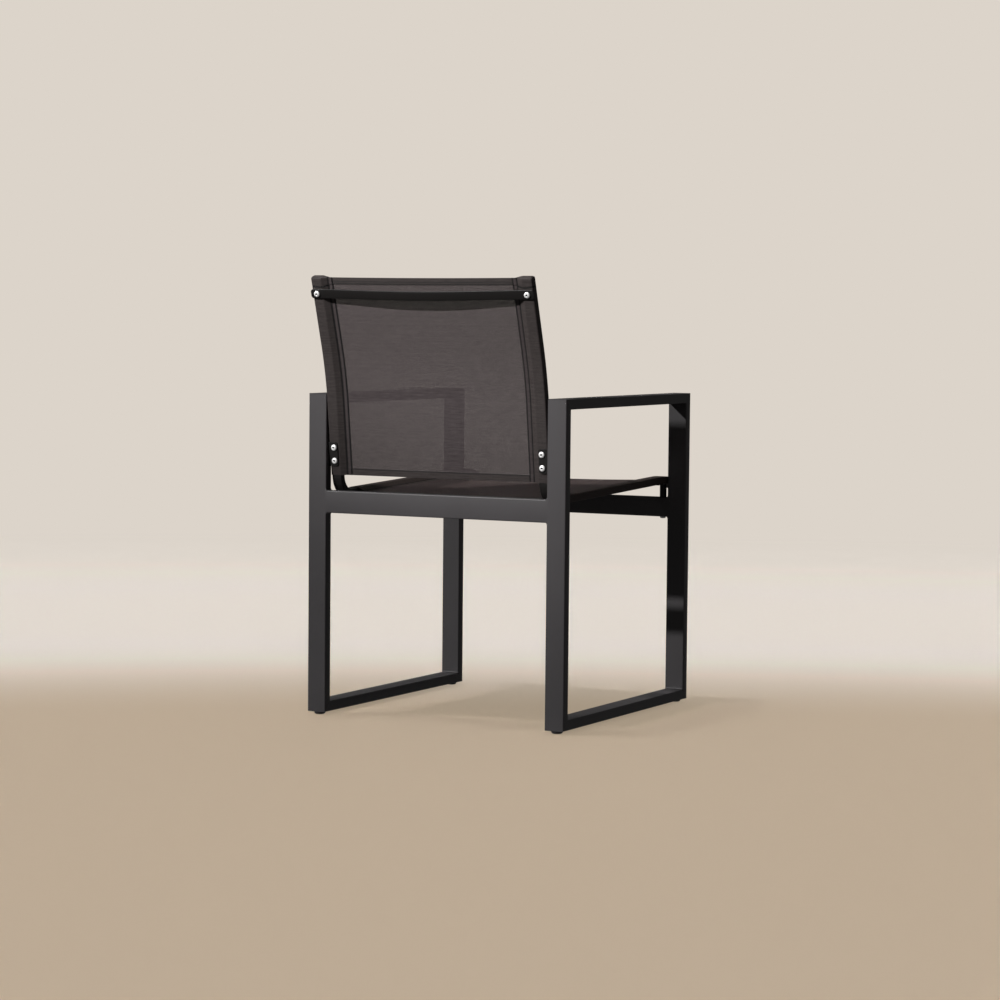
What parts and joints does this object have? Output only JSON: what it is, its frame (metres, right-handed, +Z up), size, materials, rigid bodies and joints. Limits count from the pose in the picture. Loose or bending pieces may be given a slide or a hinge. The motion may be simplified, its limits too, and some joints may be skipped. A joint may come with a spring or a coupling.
{
  "type": "sling patio armchair",
  "caption": "Outdoor armchair: square aluminium side loops, cross rails, bent sling rails, a fabric back and a fabric seat, a bowed back bar and levelling glides.",
  "frame": {"origin": "on the floor, at the middle of the footprint of the whole chair", "axes": "+X towards the right hand of the person who sits in the chair, +Y from the back to the front of the seat, +Z up; metres"},
  "size_m": [0.565, 0.6712, 0.8649],
  "materials": {
    "frame_coat": "charcoal powder coat with a fine grain, satin",
    "rail_coat": "near-black powder coat, satin",
    "back_cloth": "open weave of charcoal vinyl-coated polyester yarn",
    "seat_cloth": "open weave of brownish charcoal vinyl-coated polyester yarn",
    "steel": "bright stainless steel",
    "zinc": "dull zinc plate",
    "black_plastic": "matt black nylon"
  },
  "bodies": {
    "chair": {"left_rear_leg": "frame_coat", "right_rear_leg": "frame_coat", "left_arm": "frame_coat", "right_arm": "frame_coat", "left_front_leg": "frame_coat", "right_front_leg": "frame_coat", "left_floor_rail": "frame_coat", "right_floor_rail": "frame_coat", "rear_cross_rail": "frame_coat", "front_cross_rail": "frame_coat", "left_sling_rail": "rail_coat", "right_sling_rail": "rail_coat", "left_back_rail_plug": "black_plastic", "right_back_rail_plug": "black_plastic", "left_seat_rail_plug": "black_plastic", "right_seat_rail_plug": "black_plastic", "back_sling": "back_cloth", "seat_sling": "seat_cloth", "back_spreader_bar": "rail_coat", "left_back_bracket": "rail_coat", "right_back_bracket": "rail_coat", "left_spreader_bar_screw": "steel", "right_spreader_bar_screw": "steel", "left_upper_bracket_screw": "steel", "right_upper_bracket_screw": "steel", "left_lower_bracket_screw": "steel", "right_lower_bracket_screw": "steel", "left_spreader_bar_nut": "zinc", "right_spreader_bar_nut": "zinc", "left_upper_bracket_nut": "zinc", "right_upper_bracket_nut": "zinc", "left_lower_bracket_nut": "zinc", "right_lower_bracket_nut": "zinc", "left_seat_nut": "zinc", "right_seat_nut": "zinc", "left_seat_spacer": "rail_coat", "right_seat_spacer": "rail_coat", "left_seat_bolt": "steel", "right_seat_bolt": "steel", "left_rear_glide_insert": "zinc", "right_rear_glide_insert": "zinc", "left_front_glide_insert": "zinc", "right_front_glide_insert": "zinc"},
    "rear_left_foot": {"left_rear_glide": "black_plastic"},
    "rear_right_foot": {"right_rear_glide": "black_plastic"},
    "front_left_foot": {"left_front_glide": "black_plastic"},
    "front_right_foot": {"right_front_glide": "black_plastic"}
  },
  "joints": [
    {"name": "left_rear_glide_thread", "type": "slide", "parent": "chair", "child": "rear_left_foot", "axis": [0, 0, -1], "range_m": [0, 0.008]},
    {"name": "right_rear_glide_thread", "type": "slide", "parent": "chair", "child": "rear_right_foot", "axis": [0, 0, -1], "range_m": [0, 0.008]},
    {"name": "left_front_glide_thread", "type": "slide", "parent": "chair", "child": "front_left_foot", "axis": [0, 0, -1], "range_m": [0, 0.008]},
    {"name": "right_front_glide_thread", "type": "slide", "parent": "chair", "child": "front_right_foot", "axis": [0, 0, -1], "range_m": [0, 0.008]}
  ]
}
